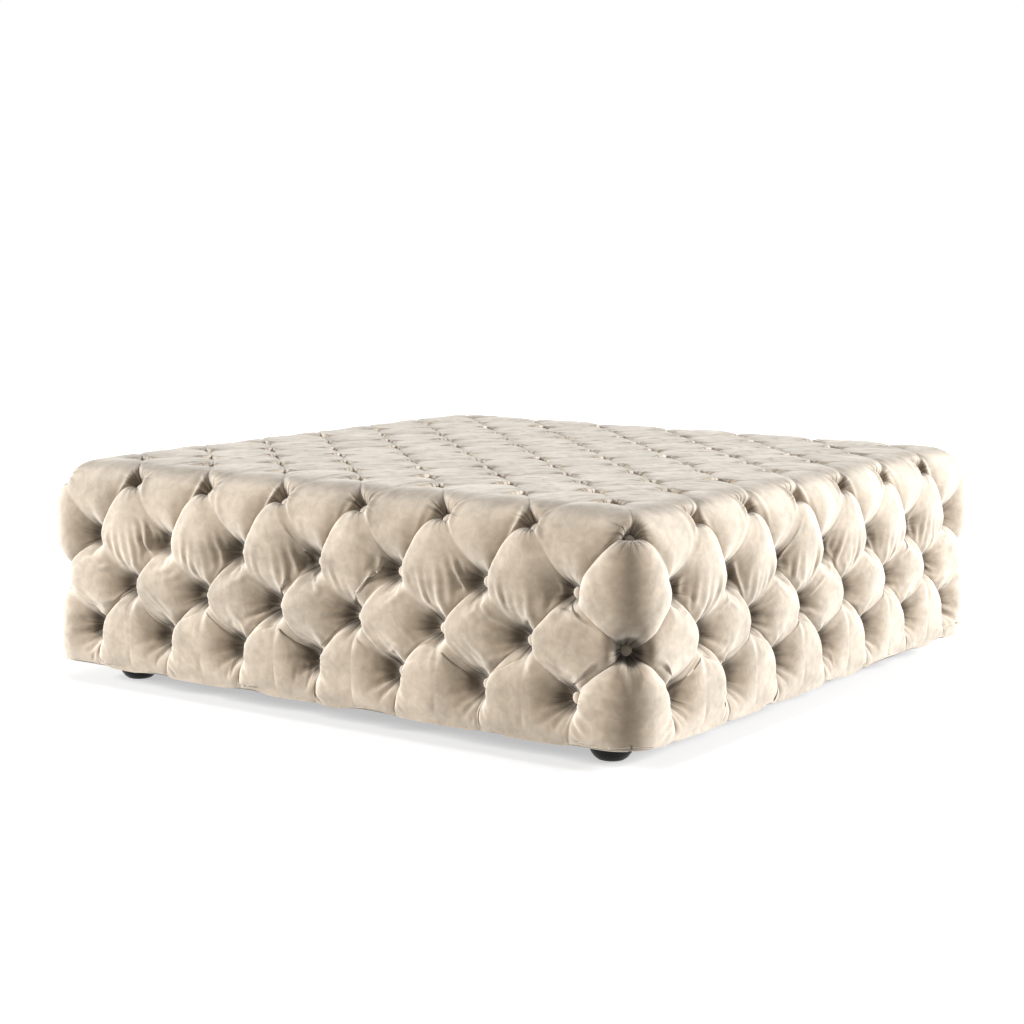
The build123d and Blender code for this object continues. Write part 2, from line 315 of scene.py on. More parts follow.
def wells(points, buttons):  # depth of the well round each of those buttons, and of the folds that run into it
    depths, folds, over = [], 0, 0
    for b in buttons:
        apart = points - rimPoint[b]
        rho = norm(apart)
        onTop = names[b][0] == "top"
        facing = (apart @ wellFacing[b]) / np.maximum(rho, 1e-6)
        lean = wellLean[b] * facing
        away = np.maximum(rho - tufting["buttonRadius"], 0) / (wellReach[b] * (1 + lean))
        depths.append(seatDepth[b] * np.exp(-away ** pillow["wellPower"]))
        angle = np.arctan2(apart @ wellAcross[b], apart @ wellFacing[b])
        count, phase, wave = foldCount[b], foldPhase[b], foldWave[b]
        ridge = np.abs(np.sin(0.5 * (count * angle + phase + 1.1 * np.sin(2 * angle + wave))))
        longer, deeper = pillow["foldLean"]
        long = pillow["foldReach"] * (1 + 0.45 * np.sin(3 * angle + wave) + longer * lean)
        strength = (0.75 + 0.25 * np.sin(5 * angle + phase)) * (1 + deeper * lean)
        start, grow, full = pillow["foldBand"]
        fade = ramp((rho - start) / grow) * np.exp(-np.maximum(rho - full, 0) / long)
        folds = folds + pillow["foldDepth"][0] * (pillow["foldDepth"][1] if onTop else 1) * strength * fade * (1 - ridge)
        close = pillow["cover"] * (band(rho, *pillow["coverBand"]) * np.maximum(-facing, 0) * wellLean[b])
        if names[b][0] in ("top", "edge", "corner"):
            close = close + pillow["pinch"] * band(rho, *pillow["pinchBand"])
        over = over - unit(apart) * close[..., None]
    return depths, folds, over


def joined(depths, power=5):
    return sum(d ** power for d in depths) ** (1 / power)


def borderDepth(kind, up, deep, share):  # crack and wide valley along a pleat, from its lower end
    if kind == "hem":
        return (size * deep * (1 - fade * ramp(up)) for size, fade in (pillow["hemPleat"], pillow["hemValley"]))
    if kind == "soft":
        low, high = pillow["softValley"]
        crack = pillow["softDepth"] * (1 - ramp(up / pillow["softFade"]))
        return crack * deep * share, (low + (high - low) * ramp(up)) * deep * share
    return pillow["crispDepth"] * deep * share + 0 * up, pillow["crispValley"] * deep * share + 0 * up


def topness(a, b):  # 1 for a pleat on the top, less for one that leaves it
    flat = [names[n][0] in ("top", "edge", "corner") for n in (a, b)]
    return 1 if all(flat) else pillow["leaving"] if any(flat) else 0


def pleatBow(pleat, kind, a, b, along, number):  # a crisp pleat bends towards the pillow underneath
    aside = unit(np.cross(unit(seatAxis[a] + seatAxis[b]), rimPoint[b] - rimPoint[a]))
    inward = ((centre[number] - rimPoint[a]) * aside).sum() > 0
    if inward != (kind == "under"):
        aside = -aside
    if 0 < topness(a, b) < 1:
        up = along if pleat["low"] == a else 1 - along
        return (pillow["edgeBow"] * np.sin(np.pi * up ** 1.5))[..., None] * aside
    size = pillow["bow"][0] * (pillow["bow"][1] if topness(a, b) else 1)
    return (size * pleat["round"] * np.sin(np.pi * along) ** 0.8)[..., None] * aside


def pleatShape(number, a, b, along, away, clear, rim):  # a pleat on one of its pillows: crack, valley, bow, overlap
    pleat, kind = pleatOf(a, b, number)
    up = along if pleat["low"] == a else 1 - along
    crack, valley = borderDepth(kind, up, pleat["deep"], 1 - (1 - pillow["topShare"]) * topness(a, b))
    x = away / (pillow["round"][kind] * pleat["round"])
    bow = np.zeros_like(rim)
    if kind in ("over", "under"):
        bow = pleatBow(pleat, kind, a, b, along, number) * (1 - ramp(away / pillow["bowReach"]))[..., None]
    lap = np.sin(np.pi * np.clip(x, 0, 1)) * (kind == "over")
    return crack * (1 - shoulder(x)) * clear + 1e-7, valley * (1 - ramp(away / pillow["valleyRound"][kind])), bow, lap


def besideBorders(valleys, away):  # each border's own valley there, blended between them
    weights = [1 / (a + 0.0005) ** 2 for a in away]
    return sum(w * v for w, v in zip(weights, valleys)) / sum(weights)


def pillowShape(depths, shapes, away):  # its depth, and how far it is bowed aside
    cracks, valleys, bows, _ = zip(*shapes)
    depth = joined(depths + list(cracks)) + besideBorders(valleys, away) * (1 - joined(depths) / 0.05)
    return depth, besideBorders(bows, [a[..., None] for a in away])


def gridOf(cells, house=False):
    v = spread(cells)
    u = np.concatenate([v / 2, 0.5 + v[1:] / 2]) if house else v
    return np.meshgrid(u, v, indexing="ij")


def diamondTarget(number, cells):
    ids, first, side = diamondSeats[number], diamonds[number][0], diamonds[number][4]
    u, v = gridOf(cells)
    weights = [(1 - u) * (1 - v), u * (1 - v), u * v, (1 - u) * v]
    chordPoint = sum(w[..., None] * seatPoint[b] for w, b in zip(weights, ids))
    axis = unit(sum(w[..., None] * seatAxis[b] for w, b in zip(weights, ids)))
    rim = ontoPad(chordPoint, axis)
    lines = rim[:, :1], rim[-1:], rim[:, -1:], rim[:1]
    away = [norm(rim - line) for line in lines]
    depths, folds, push = wells(rim, ids)
    shapes = []
    for n, (line, along, (a, b)) in enumerate(zip(lines, (u, v, u, v), borders)):
        after, before = away[(n + 1) % 4], away[(n + 3) % 4]
        clear = ramp(after / pillow["pleatEnds"]) * ramp(before / pillow["pleatEnds"])
        shapes.append(pleatShape(number, ids[a], ids[b], along, away[n], clear, rim))
        bump = shapes[-1][3] * clear * ramp(after / pillow["lapEnds"][0]) * ramp(before / pillow["lapEnds"][0])
        bump *= pillow["overlap"] * (pillow["topOverlap"] if side == "top" else 1)
        push += unit(line - rim) * bump[..., None]
    depth, bow = pillowShape(depths, shapes, away)
    deepest = sum(w * seatDepth[b] for w, b in zip(weights, ids))
    full = pillow["cornerFullness"] if first[0] == "sideCorner" else rng.uniform(*pillow["fullness"])
    depth = np.minimum(depth, deepest) - full * (16 * u * (1 - u) * v * (1 - v)) ** 0.6
    return rim - (depth + folds)[..., None] * axis + push + bow


def houseTarget(number, cells):  # below the lowest row, down to the hem
    apex, left, right = houseSeats[number]
    u, v = gridOf(cells, house=True)
    near = np.clip(2 * u, 0, 1)[..., None]
    far = np.clip(2 * u - 1, 0, 1)[..., None]

    def alongRoof(a, b, c):
        return np.where(u[..., None] <= 0.5, a + (b - a) * near, b + (c - b) * far)

    roof = alongRoof(seatPoint[left], seatPoint[apex], seatPoint[right])
    axis = unit(alongRoof(seatAxis[left], seatAxis[apex], seatAxis[right]))
    foot = roof.copy()
    foot[..., 2] = hem
    rim = ontoPad(roof + (foot - roof) * v[..., None], axis)
    sideIn = [norm(rim - rim[:1]), norm(rim - rim[-1:])]
    below = norm(rim - rim[:, :1]) * 0.72
    across = norm(rim - rim[cells][None])
    fromApex = norm(rim - rimPoint[apex])
    depths, folds, push = wells(rim, [apex, left, right])
    shapes, away = [], []
    for n, end in enumerate((left, right)):
        own = (u <= 0.5) == (n == 0)
        away.append(np.where(own, below, np.hypot(below[cells][None], across)))
        along = np.clip(2 - u * 2 if n else u * 2, 0, 1)
        clear = ramp(sideIn[n] / pillow["pleatEnds"])
        shapes.append(pleatShape(("house", number), end, apex, along, away[n], clear, rim))
        bump = shapes[-1][3] * ramp(sideIn[n] / pillow["lapEnds"][1]) * ramp(fromApex / pillow["lapEnds"][1])
        push[..., 2] += pillow["overlap"] * bump
    for n, end in enumerate((left, right)):  # straight pleats down to the hem
        shapes.append(pleatShape(None, end, end, v, sideIn[n], 1, rim))
    depth, bow = pillowShape(depths, shapes, away + sideIn)
    tuckDepth, tuckFrom = pillow["hemTuck"]
    tuck = tuckDepth * ramp((v - tuckFrom) / (1 - tuckFrom)) ** 1.5
    depth = np.minimum(depth, seatDepth[apex]) + tuck + folds * (1 - ramp((v - 0.8) / 0.2))
    return rim - depth[..., None] * axis + push + bow


def gathered(flat, corners, spare):  # lengths between neighbours on a flat piece, with spare cloth round buttons
    reach, spare = pillow["gatherReach"], spare[:, None, None]

    def rest(a, b):
        d, mid = b - a, (a + b) / 2
        squared = (d ** 2).sum(-1)
        for i, j in corners:
            r = mid - flat[:, i:i + 1, j:j + 1]
            rho = norm(r)
            tangent = np.stack([-r[..., 1], r[..., 0]], -1) / np.maximum(rho, 1e-6)[..., None]
            extra = 1 + spare * np.exp(-rho / reach)
            squared = squared + (extra ** 2 - 1) * (d * tangent).sum(-1) ** 2
        return np.sqrt(squared).astype(np.float32)

    return (rest(flat[:, :-1], flat[:, 1:]), rest(flat[:, :, :-1], flat[:, :, 1:]),
            rest(flat[:, :-1, :-1], flat[:, 1:, 1:]), rest(flat[:, :-1, 1:], flat[:, 1:, :-1]))


def lineLengths(points, axis):
    return norm(np.diff(points, axis=axis)).sum(axis=axis)


def flatDiamond(target, cells, spare):  # the cut piece: straight near its corners, drawn in along the pleats
    u, v = gridOf(cells)
    ends, middles = [], []
    for lengths in (lineLengths(target, 0), lineLengths(target, 1)):
        ends.append((lengths[0] + lengths[-1]) / 2)
        middles.append(lengths[len(lengths) // 2] * spare)
    width = ends[0] + (middles[0] - ends[0]) * 4 * v * (1 - v)
    height = ends[1] + (middles[1] - ends[1]) * 4 * u * (1 - u)
    return np.stack([(u - 0.5) * width, (v - 0.5) * height], -1)


def flatHouse(target, cells):
    u, v = gridOf(cells, house=True)
    drop = lineLengths(target, 1)
    base = lineLengths(target[:, -1], 0) * 1.02
    rise = lineLengths(target[:, 0], 0) / 2 * 0.7071   # the roof's sides slope at 45 degrees
    width = 2 * rise + (base - 2 * rise) * v
    topY = rise * (1 - np.abs(2 * u - 1))
    full = max(drop[len(drop) // 2] - rise, (drop[0] + drop[-1]) / 2)
    return np.stack([(u - 0.5) * width, topY + (-full - topY) * v], -1)


def around(field):  # mean of the four neighbours
    return (field[:, 2:, 1:-1] + field[:, :-2, 1:-1] + field[:, 1:-1, 2:] + field[:, 1:-1, :-2]) * 0.25


class Sheet:  # a batch of cloth pieces over their foam
    def __init__(self, targets, flats, cellsU, cellsV):
        k, gu, gv, _ = targets.shape   # piece, u, v, xyz
        self.gu, self.gv = gu, gv
        self.rows = targets.astype(np.float32).reshape(-1, 3)
        self.base = (np.arange(k) * gu * gv)[:, None, None]
        self.setCells(flats, cellsU, cellsV)
        at = np.meshgrid(np.linspace(0, gu - 1, cellsU + 1), np.linspace(0, gv - 1, cellsV + 1), indexing="ij")
        self.fu, self.fv = (np.repeat(part[None].astype(np.float32), k, 0) for part in at)   # place on the foam's grid
        self.sample()
        self.x = self.foot.copy()

    def setCells(self, flats, cellsU, cellsV):
        self.restU, self.restV, self.restA, self.restB = flats
        rows, columns = (np.minimum(np.arange(n + 1), n - np.arange(n + 1)) for n in (cellsU, cellsV))
        inward = np.minimum(rows[:, None], columns[None]) / cellsV
        self.grip = (1 + pillow["grip"] * np.exp(-inward / pillow["gripReach"])).astype(np.float32)

    def sample(self):  # the foam point under each vertex, its slopes and its normal
        iu = np.clip(self.fu.astype(np.int64), 0, self.gu - 2)
        iv = np.clip(self.fv.astype(np.int64), 0, self.gv - 2)
        a = (self.fu - iu)[..., None]
        b = (self.fv - iv)[..., None]
        at = self.base + iu * self.gv + iv
        p00, p01 = self.rows[at], self.rows[at + 1]
        p10, p11 = self.rows[at + self.gv], self.rows[at + self.gv + 1]
        low, high = p00 + (p10 - p00) * a, p01 + (p11 - p01) * a
        self.foot = low + (high - low) * b
        self.slopeV = high - low
        self.slopeU = (p10 - p00) * (1 - b) + (p11 - p01) * b
        normal = np.cross(self.slopeU, self.slopeV)
        self.normal = normal / np.maximum(np.linalg.norm(normal, axis=-1, keepdims=True), 1e-12)

    def track(self):
        r = self.x - self.foot
        u, v = self.slopeU, self.slopeV
        a, b, c, ru, rv = (np.einsum("...i,...i", *pair) for pair in ((u, u), (u, v), (v, v), (r, u), (r, v)))
        det = np.maximum(a * c - b * b, 1e-14)
        du = np.clip((c * ru - b * rv) / det, -1.5, 1.5)
        dv = np.clip((a * rv - b * ru) / det, -1.5, 1.5)
        for shift in (du, dv):  # the borders stay where they are sewn
            shift[:, :, 0] = shift[:, :, -1] = shift[:, 0] = shift[:, -1] = 0
        self.fu = np.clip(self.fu + du, 0, self.gu - 1)
        self.fv = np.clip(self.fv + dv, 0, self.gv - 1)
        self.sample()

    def pull(self, first, second, rest, stiff):
        d = second - first
        length = np.sqrt(np.einsum("...i,...i", d, d)) + 1e-9
        c = 0.5 - 0.5 * rest / length
        c *= np.where(c > 0, stiff, stiff * pillow["stiff"][2])
        d *= c[..., None]
        first += d
        second -= d

    def run(self, steps, bend, hold):
        x = self.x
        along, slant, _ = pillow["stiff"]
        before = x.copy()
        for n in range(steps):
            moved = (x - before) * pillow["damp"]
            before = x.copy()
            x += moved
            for p in (0, 1):
                self.pull(x[:, p:-1:2], x[:, p + 1::2], self.restU[:, p::2], along)
                self.pull(x[:, :, p:-1:2], x[:, :, p + 1::2], self.restV[:, :, p::2], along)
            for p in (0, 1):
                self.pull(x[:, p:-1:2, :-1], x[:, p + 1::2, 1:], self.restA[:, p::2], slant)
                self.pull(x[:, p + 1::2, :-1], x[:, p:-1:2, 1:], self.restB[:, p::2], slant)
            off = x - self.foot
            lap = np.zeros_like(off)
            lap[:, 1:-1, 1:-1] = around(off) - off[:, 1:-1, 1:-1]
            x[:, 1:-1, 1:-1] += bend * (lap[:, 1:-1, 1:-1] - around(lap))
            height = np.einsum("...i,...i", x - self.foot, self.normal)
            height *= np.minimum(np.where(height > 0, *hold) * self.grip, pillow["holdLimit"])
            x -= height[..., None] * self.normal
            if n % pillow["trackEvery"] == pillow["trackEvery"] - 1:
                self.track()
            for edge in (np.s_[:, 0], np.s_[:, -1], np.s_[:, :, 0], np.s_[:, :, -1]):
                x[edge] = self.foot[edge]
        self.x = x

    def refine(self, flats, cellsU, cellsV):
        def finer(a):
            for axis in (1, 2):
                a = np.moveaxis(a, axis, 0)
                up = np.empty((len(a) * 2 - 1,) + a.shape[1:], a.dtype)
                up[::2], up[1::2] = a, (a[1:] + a[:-1]) / 2
                a = np.ascontiguousarray(np.moveaxis(up, 0, axis))
            return a

        self.x, self.fu, self.fv = finer(self.x), finer(self.fu), finer(self.fv)
        self.setCells(flats, cellsU, cellsV)
        self.sample()


def settle(job):
    targets, flats, cells, pins, spare, seed = job
    noise = np.random.default_rng(seed)
    coarse, fine = (gathered(flat, pin, spare) for flat, pin in zip(flats, pins))
    sheet = Sheet(targets, coarse, cells[0], cells[1])
    for stage in (0, 1):
        if stage:
            sheet.refine(fine, cells[0] * 2, cells[1] * 2)
        sheet.x += noise.normal(0, pillow["crumple"][stage], sheet.x.shape).astype(np.float32)
        sheet.run(pillow["steps"][stage], pillow["bend"][stage], pillow["hold"][stage])
    return sheet.x


def makeCover():
    sizes, fine = (pillow["coarse"], pillow["cells"]), pillow["target"]
    targets = np.stack([diamondTarget(n, fine) for n in range(len(diamonds))])
    houseTargets = np.stack([houseTarget(n, fine) for n in range(len(houses))])
    print("foam shapes", targets.shape, houseTargets.shape)
    kinds = ["top" if d[4] == "top" else "side" for d in diamonds]
    middles = [pillow["midSpare"][kind] for kind in kinds]
    diamondFlats = [np.stack([flatDiamond(t, n, spare) for t, spare in zip(targets, middles)]) for n in sizes]
    houseFlats = [np.stack([flatHouse(t, n) for t in houseTargets]) for n in sizes]
    pins = [[(i * n, j * n) for i in (0, 1) for j in (0, 1)] for n in sizes]   # where the buttons are
    housePins = [[(i * n, 0) for i in (0, 1, 2)] + [(0, n), (2 * n, n)] for n in sizes]
    spares = np.array([pillow["gatherSpare"][kind] for kind in kinds])
    houseSpares = np.full(len(houses), pillow["gatherSpare"]["side"])
    jobs = []
    for shapes, cut, wide, corners, spare, batch, seed in ((targets, diamondFlats, 1, pins, spares, 14, 0),
                                                          (houseTargets, houseFlats, 2, housePins, houseSpares, 7, 1000)):
        for n in range(0, len(shapes), batch):
            some = slice(n, n + batch)
            flats = [flat[some] for flat in cut]
            jobs.append((shapes[some], flats, (wide * sizes[0], sizes[0]), corners, spare[some], seed + n))
    with ThreadPoolExecutor(4) as pool:
        done = list(pool.map(settle, jobs))
    isSquare = [sheet.shape[1] == sheet.shape[2] for sheet in done]
    return [np.concatenate([sheet for sheet, square in zip(done, isSquare) if square == kind]) for kind in (True, False)]


def quads(grids):  # the faces between numbered vertices
    return np.stack([grids[:, :-1, :-1], grids[:, 1:, :-1], grids[:, 1:, 1:], grids[:, :-1, 1:]], -1).reshape(-1, 4)


def sewn(batches):  # number every vertex so that pillows share their borders
    diamondGrid, houseGrid = batches
    n = diamondGrid.shape[2] - 1
    pleatStart = {key: len(names) + k * (n - 1) for k, key in enumerate(sorted(pleats))}
    hemStart = len(names) + len(pleats) * (n - 1)

    def border(a, b):
        start = pleatStart[min(a, b), max(a, b)]
        between = start + np.arange(n - 1)
        return np.concatenate([[a], between if a <= b else between[::-1], [b]])

    count = hemStart + len(seats)
    diamondIds = np.zeros(diamondGrid.shape[:3], np.int64)
    for grid, ids in zip(diamondIds, diamondSeats):
        grid[1:-1, 1:-1] = count + np.arange((n - 1) ** 2).reshape(n - 1, n - 1)
        count += (n - 1) ** 2
        for cut, (a, b) in zip((np.s_[:, 0], np.s_[n], np.s_[:, n], np.s_[0]), borders):
            grid[cut] = border(ids[a], ids[b])
    houseIds = np.zeros(houseGrid.shape[:3], np.int64)
    for grid, (apex, left, right) in zip(houseIds, houseSeats):
        grid[1:-1, 1:] = count + np.arange((2 * n - 1) * n).reshape(2 * n - 1, n)
        count += (2 * n - 1) * n
        grid[:n + 1, 0] = border(left, apex)
        grid[n:, 0] = border(apex, right)
        for column, b in ((0, left), (2 * n, right)):
            grid[column, :n] = border(b, b)[:n]
            grid[column, n] = hemStart + b
    ids = np.concatenate([diamondIds.ravel(), houseIds.ravel()])
    places = np.concatenate([diamondGrid.reshape(-1, 3), houseGrid.reshape(-1, 3)])
    share = np.maximum(np.bincount(ids, minlength=count), 1)
    points = np.stack([np.bincount(ids, places[:, c], count) / share for c in range(3)], -1)

    faces = np.concatenate([quads(diamondIds), quads(houseIds)])
    ring = np.concatenate([row[:-1, n] for row in houseIds])
    soften = softening(diamondIds, houseIds, n, count)
    soften = np.where(soften > 0.01, soften, 0)
    edges = np.concatenate([faces[:, [k, (k + 1) % 4]] for k in range(4)])
    edges = np.concatenate([edges, edges[:, ::-1]])
    weight = np.maximum(np.bincount(edges[:, 0], minlength=count), 1)
    edges = edges[soften[edges[:, 0]] > 0]
    for _ in range(pillow["seam"]):
        mean = np.stack([np.bincount(edges[:, 0], points[edges[:, 1], c], count) for c in range(3)], -1) / weight[:, None]
        points += soften[:, None] * (mean - points)
    slitDepth, slitWidth, slitFrom = pillow["slit"]
    for grid, (apex, *_) in zip(houseIds, houseSeats):
        if names[apex][0] == "sideCorner":  # the slit where the hem is folded round the corner
            for column in range(-4, 5):
                slit = grid[n + column, int(slitFrom * n):]
                below = ramp((points[slit[:1], 2] - points[slit, 2]) / 0.006)[:, None]
                points[slit] -= slitDepth * math.exp(-(column / slitWidth) ** 2) * below * seatAxis[apex]
    last = ring  # the hem is turned under
    for scale, drop in pillow["hemFolds"]:
        fresh = len(points) + np.arange(len(ring))
        level = hem + 0.5 * (points[ring, 2] - hem) + drop
        points = np.concatenate([points, np.column_stack([points[ring, :2] * scale, level])])
        faces = np.concatenate([faces, np.stack([last, fresh, np.roll(fresh, -1), np.roll(last, -1)], -1)])
        last = fresh
    line = np.zeros(len(points))  # a painted shadow line along the pleats, where pillows touch
    for key, pleat in pleats.items():
        up = spread(n)[1:-1] if pleat["low"] == key[0] else 1 - spread(n)[1:-1]
        line[pleatStart[key] + np.arange(n - 1)] = 1 - ramp(up / 0.7) if pleat["kind"] == "soft" else 1
    used = np.zeros(len(points), bool)
    used[faces] = True
    fresh = np.cumsum(used) - 1
    return points[used], fresh[faces], line[used]


def softening(diamondIds, houseIds, n, count):  # strong across the upper part of soft pleats, slight at crisp ones
    soften, told = np.zeros(count), pillow["soften"]
    along = spread(n)

    def mark(rows, reach, strength):  # strongest on the first row
        for row in range(reach):
            np.maximum.at(soften, rows[row], strength * (1 - row / reach))

    def markPleat(rows, number, a, b, wider):
        pleat, kind = pleatOf(a, b, number)
        reach, share, more = told[kind]
        strength = share + more * ramp(((along if pleat["low"] == a else 1 - along) - 0.04) / 0.3)
        if wider:
            reach, strength = told["corner"][0], np.maximum(strength, told["corner"][1])
        mark(rows, reach, strength * ramp(along / 0.04) * ramp((1 - along) / 0.04))

    for k, (grid, ids) in enumerate(zip(diamondIds, diamondSeats)):
        if diamonds[k][4] == "top":
            soften[grid[2:-2, 2:-2]] = pillow["smoothTop"]
        for rows, (a, b) in zip((grid.T, grid[::-1], grid.T[::-1], grid), borders):
            markPleat(rows, k, ids[a], ids[b], diamonds[k][0][0] == "sideCorner")
    for grid, (apex, left, right) in zip(houseIds, houseSeats):
        markPleat(grid[:n + 1].T, "house", left, apex, True)
        markPleat(grid[n:][::-1].T, "house", right, apex, True)
        for rows in (grid, grid[::-1]):  # the straight pleats
            mark(rows[:, 3:], *told["hem"])
        low = int(0.8 * n) if names[apex][0] == "sideCorner" else n + 1
        for rows in (grid[n:], grid[n::-1]):  # the line where the two halves meet
            mark(rows[:, 4:low], *told["middle"])
        mark(grid.T[::-1], *told["foot"])
    return soften


def gridMesh(name, points, faces):
    mesh = bpy.data.meshes.new(name)
    mesh.vertices.add(len(points))
    mesh.vertices.foreach_set("co", points.astype(np.float32).ravel())
    mesh.loops.add(faces.size)
    mesh.loops.foreach_set("vertex_index", faces.astype(np.int32).ravel())
    mesh.polygons.add(len(faces))
    mesh.polygons.foreach_set("loop_start", np.arange(0, faces.size, 4, dtype=np.int32))
    mesh.polygons.foreach_set("use_smooth", np.ones(len(faces), bool))
    mesh.update(calc_edges=True)
    mesh.validate()
    return linked(name, mesh)


coverPoints, coverFaces, pleatShadowLine = sewn(makeCover())
cover = gridMesh("cover", coverPoints, coverFaces)
shadeFrom = {
    "slit": (0.0028, 0.015, 0.003, 0.56),   # painted shade in the hem's corner slits: half width, height, its fade, and how far out the corners begin
    "pit": (0.012, 0.02),                   # painted shade in the wells: from what depth under the crowns, and over what depth it darkens
    "gather": (0.006, 0.006),               # from a button outwards, and over what distance
    "gatherFade": (0.012, 0.013),
    "gatherEnd": (0.030, 0.024),
}
# painted shade in the hem's corner slits, and the painted shadow line along the pleats
corner = np.abs(np.abs(coverPoints[:, 0]) - np.abs(coverPoints[:, 1]))
wide, tall, fade, outer = shadeFrom["slit"]
slit = np.exp(-(corner / wide) ** 2) * ramp((hem + tall - coverPoints[:, 2]) / fade) * (np.abs(coverPoints[:, 0]) > outer)
paintedLines = np.maximum(slit, pillow["pleatShade"] * pleatShadowLine)
# painted shade down in the wells, joined with the painted slit and pleat lines
deep, fade = shadeFrom["pit"]
pit = np.maximum(ramp((-padDistance(coverPoints) - deep) / fade), paintedLines)
reach = (seatPoint ** 2).sum(1).astype(np.float32) - 2 * coverPoints.astype(np.float32) @ seatPoint.T.astype(np.float32)
nearest = reach.argmin(1)
apart = coverPoints - rimPoint[nearest]
aside = np.stack([(apart * wellFacing[nearest]).sum(1), (apart * wellAcross[nearest]).sum(1)], -1)
rho = norm(aside)
ray = np.column_stack([aside / np.maximum(rho, 1e-5)[:, None], nearest * 0.37 % 11])
lean = 1 + 0.9 * wellLean[nearest] * ray[:, 0]
start, fade = shadeFrom["gatherFade"]
gather = band(rho, shadeFrom["gather"], shadeFrom["gatherEnd"]) * np.exp(-np.maximum(rho - start, 0) / (fade * lean))
for name, kind, read, values in (("pit", "FLOAT", "value", pit),         # painted shade: down in a well, in the hem's corner slits and along the pleats
                                 ("gather", "FLOAT", "value", gather),   # how strongly cloth is gathered there, for crease bumps and painted crease shade
                                 ("ray", "FLOAT_VECTOR", "vector", ray)):   # which way that spot lies from its button
    cover.data.attributes.new(name, kind, "POINT").data.foreach_set(read, values.astype(np.float32).ravel())
print("cover", len(cover.data.polygons), "faces")
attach(cover, "root")
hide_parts("velvet_cover")

buttonSize = {
    "radius": 0.0097,
    "height": 0.0075,
    "sink": 0.001,             # into the velvet under it
    "sides": 12,
    "rings": 3,
}


def feed(tree, node, sources):  # an input is linked to a socket, or set to anything else
    for key, source in dict(sources).items():
        if isinstance(source, bpy.types.NodeSocket):
            tree.links.new(source, node.inputs[key])
        else:
            node.inputs[key].default_value = source


def addNode(tree, kind, sources=(), **settings):
    node = tree.nodes.new(kind)
    for key, value in settings.items():
        setattr(node, key, value)
    feed(tree, node, sources)
    return node


def maths(tree, operation, *terms, **settings):
    return addNode(tree, "ShaderNodeMath", enumerate(terms), operation=operation, **settings).outputs["Value"]


def ranged(tree, value, start, end, kind="LINEAR"):  # from one range of numbers to another
    sources = {"Value": value, "From Min": start[0], "From Max": start[1], "To Min": end[0], "To Max": end[1]}
    return addNode(tree, "ShaderNodeMapRange", sources, interpolation_type=kind).outputs["Result"]


def bumped(tree, height, distance, **more):
    return addNode(tree, "ShaderNodeBump", {"Height": height, "Distance": distance, **more}).outputs["Normal"]


def newTree(name, kind, inputs, outputs):  # a node group, what it is given and what it gives
    tree = bpy.data.node_groups.new(name, kind)
    for label, socket, *value in inputs:
        made = tree.interface.new_socket(label, in_out="INPUT", socket_type="NodeSocket" + socket)
        if value:
            made.default_value = value[0]
    for label, socket in outputs:
        tree.interface.new_socket(label, in_out="OUTPUT", socket_type="NodeSocket" + socket)
    return tree, tree.nodes.new("NodeGroupInput").outputs, tree.nodes.new("NodeGroupOutput")


def newMaterial(name):
    made = bpy.data.materials.new(name)
    made.use_nodes = True
    return made, made.node_tree, made.node_tree.nodes["Principled BSDF"]


velvetLook = {
    "deep": (0.36, 0.286, 0.208, 1),     # painted sheen: colour where the velvet faces the camera
    "pale": (0.78, 0.715, 0.63, 1),      # painted sheen: colour where the velvet is seen at a grazing angle
    "across": 0.42,
    "sheen": (1.0, 0.96, 0.90, 1),
    "paintedShadeInPits": 0.35,                      # painted shade: share of light kept down in the wells, in the slits and along the pleat lines
    "onTop": 0.68,                       # painted shade: share of light kept where the surface faces up on the top
    "topFrom": 0.72,                     # how level that is
    "grainHeight": 0.0004,
    "creaseHeight": 0.0022,
    # painted shade: share of light kept in the creases
    "creasePaintedShade": 0.45,
    "brushed": {"Patches": (9.0, 2.0, 1.2, (-0.15, 0.13)),   # scale, detail, distortion and shade of each layer
                "Streaks": (70.0, 3.0, 0.6, (-0.10, 0.10)),
                "Grain": (1400.0, 1.0, 0.0, (-0.05, 0.05))},
}


def napGroup(name):  # pile brushed this way and that: a shade and a height
    layers = velvetLook["brushed"]
    tree, given, end = newTree(name, "ShaderNodeTree", [(label, "Float", layer[0]) for label, layer in layers.items()],
                               (("Shade", "Float"), ("Height", "Float")))
    where = addNode(tree, "ShaderNodeTexCoord").outputs["Object"]
    shade = 1
    for label, (_, detail, twist, shades) in layers.items():
        sources = {"Vector": where, "Scale": given[label], "Detail": detail, "Distortion": twist}
        noise = addNode(tree, "ShaderNodeTexNoise", sources).outputs["Fac"]
        shade = maths(tree, "ADD", shade, ranged(tree, noise, (0.3, 0.7), shades))
    feed(tree, end, {"Shade": shade, "Height": noise})
    return tree


def gatherGroup(name):  # sharp little creases that run out from each button: a bump, and painted shade in each crease
    tree, given, end = newTree(name, "ShaderNodeTree", (("Ray", "Vector"), ("Strength", "Float"), ("Count", "Float", 3.2)),
                               (("Shade", "Float"), ("Height", "Float")))
    sources = {"Vector": given["Ray"], "Scale": given["Count"], "Detail": 1.5}
    noise = addNode(tree, "ShaderNodeTexNoise", sources).outputs["Fac"]
    sunk = ranged(tree, noise, (0.53, 0.38), (0, 1), "SMOOTHSTEP")     # 1 in a crease, 0 between
    kept = maths(tree, "MULTIPLY", sunk, given["Strength"])
    shade = ranged(tree, kept, (0, 1), (1, velvetLook["creasePaintedShade"]))
    feed(tree, end, {"Shade": shade, "Height": maths(tree, "SUBTRACT", 1, kept)})
    return tree


